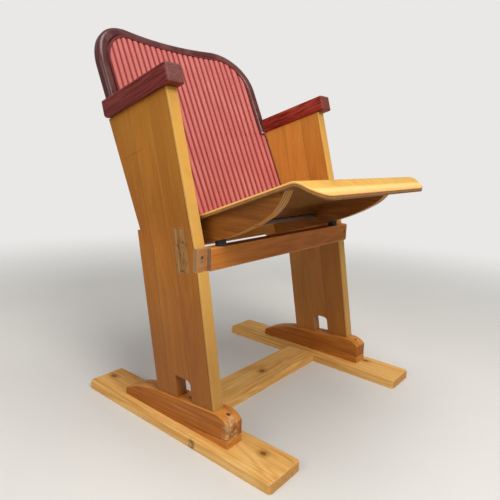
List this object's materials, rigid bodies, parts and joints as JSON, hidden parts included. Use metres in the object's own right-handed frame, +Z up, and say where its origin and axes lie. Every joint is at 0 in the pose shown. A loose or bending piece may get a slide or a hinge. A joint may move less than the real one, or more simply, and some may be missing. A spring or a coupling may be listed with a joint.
{
  "type": "tip up auditorium seat",
  "caption": "Tip up plywood seat and fluted cloth back between solid wood side panels with armrests, on a low plank base with foot blocks.",
  "frame": {"origin": "on the floor, under the middle of the crossbar that joins the two floor runners", "axes": "+Z up, the sitter faces -Y, +X is the sitter's left"},
  "size_m": [0.576, 0.6246, 0.8142],
  "materials": {
    "panel_wood": "satin",
    "armrest_wood": "satin",
    "pine": "matt",
    "foot_wood": "satin",
    "rail_wood": "satin",
    "key_wood": "matt",
    "seat_ply": "satin",
    "bracket_wood": "satin",
    "back_ply": "satin",
    "moulding_wood": "gloss",
    "back_cloth": "ribbed cloth",
    "dowel_wood": "matt",
    "rubber": "matt",
    "bush_brass": "dull",
    "steel": "dull"
  },
  "bodies": {
    "frame": {"side_panel_left": "panel_wood", "side_panel_right": "panel_wood", "armrest_left": "armrest_wood", "armrest_right": "armrest_wood", "runner_left": "pine", "runner_right": "pine", "base_crossbar": "pine", "foot_left": "foot_wood", "foot_right": "foot_wood", "wedge_left": "foot_wood", "wedge_right": "foot_wood", "front_rail": "rail_wood", "pivot_key_left": "key_wood", "pivot_key_right": "key_wood", "back_shell": "back_ply", "back_moulding": "moulding_wood", "back_pad": "back_cloth", "crossbar_dowels": "dowel_wood", "panel_dowels": "dowel_wood", "armrest_dowels": "dowel_wood", "rubber_buffer_left": "rubber", "rubber_buffer_right": "rubber", "tip_stop_left": "rubber", "tip_stop_right": "rubber", "pivot_axle": "steel", "axle_spacer_left": "steel", "axle_spacer_right": "steel", "foot_screws": "steel", "rail_screws": "steel", "buffer_screws": "steel", "stop_screws": "steel", "back_screws": "steel", "key_nails": "steel"},
    "seat": {"seat_shell": "seat_ply", "seat_bracket_left": "bracket_wood", "seat_bracket_right": "bracket_wood", "bracket_bush_left": "bush_brass", "bracket_bush_right": "bush_brass", "seat_brace": "bracket_wood", "brace_screws": "steel", "seat_screws": "steel"}
  },
  "joints": [
    {"name": "seat_tip", "type": "hinge", "parent": "frame", "child": "seat", "pos_m": [0, -0.022, 0.397], "axis": [-1, 0, 0], "range_deg": [0, 71.8]}
  ]
}
